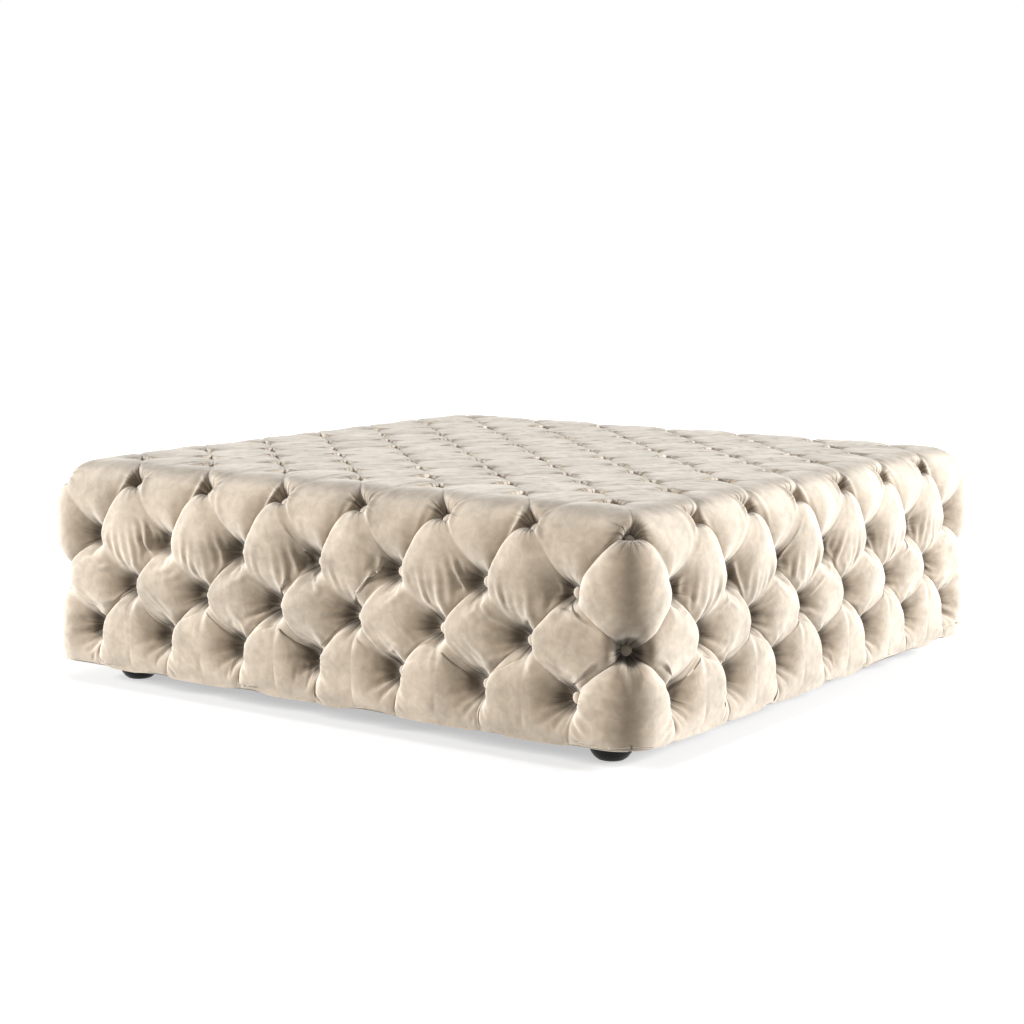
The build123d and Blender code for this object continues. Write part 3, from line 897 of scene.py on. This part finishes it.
def velvetMaterial(name, withPaintedShade):
    velvet, tree, shader = newMaterial(name)
    # painted sheen: the base colour turns from deep to pale as the surface turns away from the camera
    facing = addNode(tree, "ShaderNodeLayerWeight", {"Blend": velvetLook["across"]}).outputs["Facing"]
    sources = {"Factor": facing, "A": velvetLook["deep"], "B": velvetLook["pale"]}
    paintedSheenColour = addNode(tree, "ShaderNodeMix", sources, data_type="RGBA").outputs["Result"]
    pile = addNode(tree, "ShaderNodeGroup", node_tree=nap).outputs
    shade, under = pile["Shade"], {}
    # painted shade in the wells, slits, pleat lines, on the top and in the creases
    if withPaintedShade:
        # painted shade from the wells, slits and pleat lines, read from the cover
        told = [addNode(tree, "ShaderNodeAttribute", attribute_name=kind).outputs for kind in ("pit", "gather", "ray")]
        sources = {"Strength": told[1]["Fac"], "Ray": told[2]["Vector"]}
        creases = addNode(tree, "ShaderNodeGroup", sources, node_tree=gathers).outputs
        # painted shade on the top: darker where the surface faces up
        normal = addNode(tree, "ShaderNodeTexCoord").outputs["Normal"]
        upward = addNode(tree, "ShaderNodeSeparateXYZ", {"Vector": normal}).outputs["Z"]
        for part in (ranged(tree, told[0]["Fac"], (0, 1), (1, velvetLook["paintedShadeInPits"]), "SMOOTHSTEP"),
                     ranged(tree, upward, (velvetLook["topFrom"], 1), (1, velvetLook["onTop"]), "SMOOTHSTEP"),
                     creases["Shade"]):
            shade = maths(tree, "MULTIPLY", shade, part)
        under = {"Normal": bumped(tree, creases["Height"], velvetLook["creaseHeight"])}
    shaded = addNode(tree, "ShaderNodeVectorMath", {"Vector": paintedSheenColour, "Scale": shade}, operation="SCALE").outputs["Vector"]
    feed(tree, shader, {
        "Base Color": shaded,
        "Normal": bumped(tree, pile["Height"], velvetLook["grainHeight"], Strength=0.5, **under),
        "Roughness": 0.75,
        "Specular IOR Level": 0.1,
        "Sheen Weight": 0.18,
        "Sheen Roughness": 0.35,
        "Sheen Tint": velvetLook["sheen"],
    })
    return velvet


def meshPiece(name, bm):
    bmesh.ops.recalc_face_normals(bm, faces=bm.faces)
    mesh = bpy.data.meshes.new(name)
    bm.to_mesh(mesh)
    bm.free()
    mesh.polygons.foreach_set("use_smooth", np.ones(len(mesh.polygons), bool))
    return linked(name, mesh)


def turnedRings(bm, profile, sides, cx=0, cy=0):  # an outline of radius and height, turned round
    angles = [2 * math.pi * k / sides for k in range(sides)]
    rings = [[bm.verts.new((cx + r * math.cos(a), cy + r * math.sin(a), z)) for a in angles] for r, z in profile]
    for low, high in zip(rings, rings[1:]):
        for k in range(sides):
            bm.faces.new((low[k], low[(k + 1) % sides], high[(k + 1) % sides], high[k]))
    return rings


def buttonShape():  # a covered button: low dome with its rim turned under
    bm = bmesh.new()
    radius, height, sink, sides, rings = buttonSize.values()
    profile = [(radius * 0.80, -sink), (radius * 0.97, height * 0.22)]
    for n in range(rings - 1):
        t = n / (rings - 1) * math.pi / 2
        profile.append((radius * math.cos(t) ** 0.9, height * (0.38 + 0.62 * math.sin(t))))
    loops = turnedRings(bm, profile, sides)
    tip, base = bm.verts.new((0, 0, height)), bm.verts.new((0, 0, -sink))
    for k in range(sides):
        bm.faces.new((loops[-1][k], loops[-1][(k + 1) % sides], tip))
        bm.faces.new((loops[0][(k + 1) % sides], loops[0][k], base))
    return meshPiece("buttonShape", bm)


def onPointsTree(name):  # sets one shape on every point, its top along the point's facing
    inputs = (("Geometry", "Geometry"), ("Shape", "Object"), ("Finish", "Material"),
              ("Smallest", "Float"), ("Largest", "Float"))
    tree, given, end = newTree(name, "GeometryNodeTree", inputs, (("Geometry", "Geometry"),))
    facing = addNode(tree, "GeometryNodeInputNamedAttribute", {"Name": "facing"}, data_type="FLOAT_VECTOR").outputs
    turn = addNode(tree, "FunctionNodeAlignRotationToVector", {"Vector": facing["Attribute"]}, axis="Z").outputs["Rotation"]
    shape = addNode(tree, "GeometryNodeObjectInfo", {"Object": given["Shape"]}).outputs["Geometry"]
    size = addNode(tree, "FunctionNodeRandomValue", {"Seed": 3, 2: given["Smallest"], 3: given["Largest"]}).outputs[1]
    sources = {"Points": given["Geometry"], "Instance": shape, "Rotation": turn, "Scale": size}
    put = addNode(tree, "GeometryNodeInstanceOnPoints", sources).outputs["Instances"]
    real = addNode(tree, "GeometryNodeRealizeInstances", {"Geometry": put}).outputs["Geometry"]
    finish = addNode(tree, "GeometryNodeSetMaterial", {"Geometry": real, "Material": given["Finish"]}).outputs["Geometry"]
    feed(tree, end, {"Geometry": finish})
    return tree


def setOnPoints(name, points, facings, shape, material, smallest, largest):
    mesh = bpy.data.meshes.new(name + "Points")
    mesh.from_pydata([tuple(map(float, q)) for q in points], [], [])
    facing = mesh.attributes.new("facing", "FLOAT_VECTOR", "POINT")
    facing.data.foreach_set("vector", np.asarray(facings, np.float32).ravel())
    carrier = linked(name + "Points", mesh)
    modifier = carrier.modifiers.new("set", "NODES")
    modifier.node_group = placing
    values = {"Shape": shape, "Finish": material, "Smallest": smallest, "Largest": largest}
    for item in placing.interface.items_tree:
        if item.in_out == "INPUT" and item.name in values:
            modifier[item.identifier] = values[item.name]
    made = bpy.data.meshes.new_from_object(carrier.evaluated_get(bpy.context.evaluated_depsgraph_get()))
    made.name = name
    carrier.modifiers.remove(modifier)
    bpy.data.objects.remove(carrier)
    bpy.data.objects.remove(shape)
    return linked(name, made)


placing = onPointsTree("setOnPoints")
nap = napGroup("nap")
gathers = gatherGroup("gathers")
cover.data.materials.append(velvetMaterial("champagneVelvet", True))
buttons = setOnPoints("buttons", seatPoint, seatAxis, buttonShape(), velvetMaterial("buttonVelvet", False), 0.97, 1.03)
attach(buttons, "root")
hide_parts("buttons_top", "buttons_edge", "buttons_corner",
            "buttons_front", "buttons_right", "buttons_back", "buttons_left")
print("buttons", len(buttons.data.polygons), "faces")

feet = {
    "profile": ((0.0175, 0), (0.0215, 0.0011), (0.0262, 0.0048), (0.0312, 0.0112), (0.0356, 0.0200), (0.0369, 0.0295),
                (0.0370, 0.0375), (0.0364, 0.0402), (0.0350, 0.0409),   # outline from the sole up, over the top
                (0.00415, 0.0409), (0.00415, 0.0108)),                  # and down the bolt's bore
    "bottomDish": (0.0145, 0.0006),
    "sides": 48,
}


def makeFeet():
    bm = bmesh.new()
    dish, raised = feet["bottomDish"]
    outline = ((dish, raised), (dish + 0.0006, 0)) + feet["profile"]
    out = float(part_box("feet")[1][0]) - max(r for r, _ in outline)
    for cx in (-out, out):
        for cy in (-out, out):
            rings = turnedRings(bm, outline, feet["sides"], cx, cy)
            bm.faces.new(rings[0][::-1])
            bm.faces.new(rings[-1])
    return meshPiece("turnedFeet", bm)


dust = {
    "cells": 54,
    "sag": 0.0022,             # at the middle
    "pull": 0.0007,            # small waves between the staples
    "staples": 20,             # along each side
    "inset": 0.012,
}
stapleSize = {"length": 0.0105, "wide": 0.0013, "proud": 0.0007}


def makeDustCover():  # one layer, facing down
    low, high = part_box("dust_cover")
    n = dust["cells"]
    t = np.linspace(-1, 1, n + 1)
    x, y = np.meshgrid(t, t, indexing="ij")
    middle = ((1 - x ** 2) * (1 - y ** 2)) ** 0.6
    edge = np.maximum(np.abs(x), np.abs(y))
    along = np.where(np.abs(x) > np.abs(y), y, x)
    waves = np.cos(along * math.pi * dust["staples"]) * np.exp(-(1 - edge) / 0.07) * ramp((1 - edge) / 0.03)
    z = float(low[2]) + 0.0005 - dust["sag"] * middle + dust["pull"] * waves
    half = float(high[0])
    points = np.stack([x * half, y * half, z], -1).reshape(-1, 3)
    faces = quads(np.arange((n + 1) ** 2).reshape(1, n + 1, n + 1))
    return gridMesh("dustCover", points, faces[:, [0, 3, 2, 1]])


def stapleShape():  # the crown of a staple, its legs in the wood
    bm = bmesh.new()
    long, wide, proud = stapleSize["length"] / 2, stapleSize["wide"] / 2, stapleSize["proud"]
    rings = [[bm.verts.new((x, wide * share * math.cos(a), proud * share * math.sin(a))) for a in np.linspace(0, math.pi, 4)]
             for x, share in ((-long, 0.45), (-long * 0.9, 1), (long * 0.9, 1), (long, 0.45))]
    for a, b in zip(rings, rings[1:]):
        for k in range(4):
            bm.faces.new((a[k], b[k], b[(k + 1) % 4], a[(k + 1) % 4]))
    bm.faces.new(rings[0])
    bm.faces.new(rings[-1][::-1])
    return meshPiece("stapleShape", bm)


foams = {"edge": 0.012, "dimple": 0.004, "cells": 0.022}   # softened edges, dents where the twines pull, cell size


def makeFoam(name, node):  # the slab's own block with soft edges and faces that give a little round the twines
    low, high = (np.array(corner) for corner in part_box(node))
    counts = np.maximum(((high - low) / foams["cells"]).round().astype(int), 3)
    middle, size = (low + high) / 2, (high - low) / 2
    points, faces, start = [], [], 0
    for axis in range(3):
        a, b = (axis + 1) % 3, (axis + 2) % 3
        for sign in (-1, 1):
            u = np.linspace(-1, 1, counts[a] + 1)
            v = np.linspace(-1, 1, counts[b] + 1)
            grid = np.zeros((len(u), len(v), 3))
            grid[..., a], grid[..., b], grid[..., axis] = u[:, None], v[None], sign
            at = start + np.arange(grid[..., 0].size).reshape(len(u), len(v))
            faces.append(quads(at[None])[:, ::sign])
            points.append(grid.reshape(-1, 3))
            start += grid[..., 0].size
    points = np.concatenate(points) * size
    inner = size - foams["edge"]
    core = np.clip(points, -inner, inner)
    points = core + unit(points - core) * np.where(np.abs(points - core).max(-1) > 1e-9, foams["edge"], 0)[:, None]
    points += middle
    flat = np.argmin(size)
    for seat in seatPoint:
        apart = points - seat
        apart[:, flat] = 0
        dent = foams["dimple"] * np.exp(-(norm(apart) / 0.018) ** 2)
        points[:, flat] -= dent * np.sign(points[:, flat] - middle[flat])
    bm = bmesh.new()
    made = [bm.verts.new(q) for q in points]
    for face in np.concatenate(faces):
        bm.faces.new([made[k] for k in face])
    bmesh.ops.remove_doubles(bm, verts=bm.verts, dist=1e-5)
    return meshPiece(name, bm)


def grainGroup(name):  # streaks of wood, pores of foam, threads of cloth: a colour and a height
    inputs = (("Stretch", "Vector", (1, 1, 1)), ("Size", "Float", 60), ("Light", "Color"), ("Dark", "Color"))
    tree, given, end = newTree(name, "ShaderNodeTree", inputs, (("Colour", "Color"), ("Height", "Float")))
    where = addNode(tree, "ShaderNodeTexCoord").outputs["Object"]
    stretched = addNode(tree, "ShaderNodeVectorMath", {0: where, 1: given["Stretch"]}, operation="MULTIPLY").outputs
    sources = {"Vector": stretched["Vector"], "Scale": given["Size"], "Detail": 4, "Distortion": 0.5}
    noise = addNode(tree, "ShaderNodeTexNoise", sources).outputs["Fac"]
    sources = {"Factor": ranged(tree, noise, (0.36, 0.64), (0, 1)), "A": given["Dark"], "B": given["Light"]}
    feed(tree, end, {"Colour": addNode(tree, "ShaderNodeMix", sources, data_type="RGBA").outputs["Result"], "Height": noise})
    return tree


def grainMaterial(name, light, dark, stretch, size, height, rough, metal=0, gloss=0.5):
    made, tree, shader = newMaterial(name)
    sources = {"Stretch": stretch, "Size": size, "Light": (*light, 1), "Dark": (*dark, 1)}
    group = addNode(tree, "ShaderNodeGroup", sources, node_tree=grain).outputs
    feed(tree, shader, {
        "Base Color": group["Colour"],
        "Normal": bumped(tree, group["Height"], height),
        "Roughness": ranged(tree, group["Height"], (0, 1), rough),
        "Metallic": metal,
        "Specular IOR Level": gloss,
    })
    return made


grain = grainGroup("grain")
birch, birchDark = (0.70, 0.54, 0.36), (0.53, 0.38, 0.23)
pine, pineDark = (0.72, 0.53, 0.32), (0.48, 0.31, 0.16)
evenly = (1, 1, 1)
finishes = {}
for name, light, dark, stretch, size, height, rough, *more in (   # more: metal, gloss
        ("blackLacquer", (0.013, 0.012, 0.011), (0.006, 0.0055, 0.005), (1, 1, 0.4), 50, 0.0002, (0.3, 0.5), 0, 0.22),
        ("blackDustCloth", (0.022, 0.022, 0.023), (0.007, 0.007, 0.0075), evenly, 900, 0.0003, (0.75, 0.95)),
        ("paleFoam", (0.86, 0.80, 0.62), (0.70, 0.62, 0.43), evenly, 420, 0.0008, (0.8, 0.95)),
        ("waxedTwine", (0.78, 0.74, 0.64), (0.50, 0.46, 0.38), (1, 1, 0.5), 1200, 0.0003, (0.6, 0.8)),
        ("zincPlate", (0.66, 0.66, 0.64), (0.48, 0.48, 0.47), evenly, 260, 0.0001, (0.25, 0.5), 1),
        ("birchPlywood", birch, birchDark, (0.07, 1, 1), 55, 0.0003, (0.5, 0.7)),
        ("birchPlywoodAcross", birch, birchDark, (1, 0.07, 1), 55, 0.0003, (0.5, 0.7)),
        ("pineLengthways", pine, pineDark, (0.05, 1, 1), 40, 0.0004, (0.5, 0.7)),
        ("pineAcross", pine, pineDark, (1, 0.05, 1), 40, 0.0004, (0.5, 0.7)),
        ("pineUpright", pine, pineDark, (1, 1, 0.05), 40, 0.0004, (0.5, 0.7))):
    finishes[name] = grainMaterial(name, light, dark, stretch, size, height, rough, *more)


def finishFor(node):
    if node.startswith("twine"):
        return finishes["waxedTwine"]
    if node.startswith("foot_"):
        return finishes["zincPlate"]
    across = node.endswith(("_left", "_right")) or node.startswith("deck_bearer")
    if "panel" in node:
        return finishes["birchPlywoodAcross" if across else "birchPlywood"]
    if node.startswith("corner_post"):
        return finishes["pineUpright"]
    return finishes["pineAcross" if across else "pineLengthways"]


turnedFeet = makeFeet()
turnedFeet.data.materials.append(finishes["blackLacquer"])
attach(turnedFeet, "root")
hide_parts("feet")

clothLow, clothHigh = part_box("dust_cover")
stapleReach = float(clothHigh[0]) - dust["inset"]
stapleAt = (np.arange(dust["staples"]) + 0.5) * 2 / dust["staples"] * stapleReach - stapleReach
staplePoints = [turned((along, -stapleReach, float(clothLow[2]) + 0.0004), side) for side in range(4) for along in stapleAt]
dustCover = makeDustCover()
dustCover.data.materials.append(finishes["blackDustCloth"])
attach(dustCover, "root")
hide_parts("dust_cover")
facings = [(0, 0, -1)] * len(staplePoints)
staples = setOnPoints("staples", staplePoints, facings, stapleShape(), finishes["zincPlate"], 0.98, 1.02)
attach(staples, "root")

for side in ("Top", "Front", "Right", "Back", "Left"):
    node = "foam_" + side.lower()
    slab = makeFoam("foam" + side, node)
    slab.data.materials.append(finishes["paleFoam"])
    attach(slab, "root")
    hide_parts(node)
for node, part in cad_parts.items():
    if not part.hide_render:
        for slot in part.material_slots:
            slot.material = finishFor(node)
print("feet, dust cover, foam and frame finished")

studio = {
    "floorLift": (0.50, 1.0),      # how far the floor is lifted to white for the camera, beside the table and far off
    "liftFrom": (0.9, 2.4),        # from the middle of the table
    "floorReach": 14,
    "floorColour": (0.62, 0.62, 0.62, 1),
    "worldLight": 0.13,
    "right": {"place": (5.6, 3.8, 2.4), "aim": (0.2, 0, 0.2), "size": 1.5, "power": 840},
    "left": {"place": (-5.3, -5.4, 2.5), "aim": (0.3, -0.4, 0.2), "size": 1.5, "power": 860},
    "top": {"place": (0.9, -1.9, 3.4), "aim": (0, 0, 0.3), "size": 1.2, "power": 30},
}


def seenDirectly(tree):  # 1 for what the camera sees, also in a reflection or through glass
    path = addNode(tree, "ShaderNodeLightPath").outputs
    total = path["Is Camera Ray"]
    for label in ("Is Glossy Ray", "Is Transmission Ray"):
        total = maths(tree, "ADD", total, path[label], use_clamp=True)
    return total


reach = studio["floorReach"]
floorMesh = bpy.data.meshes.new("floor")
floorMesh.from_pydata([(-reach, -reach, 0), (reach, -reach, 0), (reach, reach, 0), (-reach, reach, 0)], [], [(0, 1, 2, 3)])
floor = linked("floor", floorMesh)
pale, tree, shader = newMaterial("paleFloor")
where = addNode(tree, "ShaderNodeTexCoord").outputs["Object"]
far = addNode(tree, "ShaderNodeVectorMath", {0: where}, operation="LENGTH").outputs["Value"]
fade = ranged(tree, far, studio["liftFrom"], studio["floorLift"], "SMOOTHSTEP")
feed(tree, shader, {
    "Base Color": studio["floorColour"],
    "Roughness": 0.9,
    "Specular IOR Level": 0.1,
    "Emission Color": (1, 1, 1, 1),
    "Emission Strength": maths(tree, "MULTIPLY", seenDirectly(tree), fade),
})
floor.data.materials.append(pale)


def lamp(name):
    told = studio[name]
    data = bpy.data.lights.new(name, "AREA")
    data.size = told["size"]
    data.energy = told["power"]
    lampObject = linked(name, data)
    lampObject.location = told["place"]
    lampObject.rotation_euler = (Vector(told["aim"]) - Vector(told["place"])).to_track_quat("-Z", "Y").to_euler()


for name in ("right", "left", "top"):
    lamp(name)
world = bpy.data.worlds.new("studio")
scene.world = world
world.use_nodes = True
tree = world.node_tree
strength = ranged(tree, seenDirectly(tree), (0, 1), (studio["worldLight"], 1))
feed(tree, tree.nodes["Background"], {"Color": (1, 1, 1, 1), "Strength": strength})
scene.view_settings.view_transform = "Standard"

viewing = {
    "place": (2.189, -3.190, 0.816),
    "lens": 74.33,
    "azimuth": 34.893,
    "elevation": 7.866,
    "roll": 0.217,
    "lower": 2.5,              # pixels of a picture 1024 wide
}
az, el, roll = (math.radians(viewing[k]) for k in ("azimuth", "elevation", "roll"))
back = Vector((math.sin(az) * math.cos(el), -math.cos(az) * math.cos(el), math.sin(el)))
side = Vector((math.cos(az), math.sin(az), 0))
upward = back.cross(side)
right = side * math.cos(roll) + upward * math.sin(roll)
upward = back.cross(right)
camera = linked("camera", bpy.data.cameras.new("camera"))
camera.matrix_world = Matrix((right, upward, back)).transposed().to_4x4()
camera.matrix_world.translation = viewing["place"]
camera.data.lens = viewing["lens"]
camera.data.sensor_width = 36
camera.data.shift_y = viewing["lower"] / 1024
scene.camera = camera
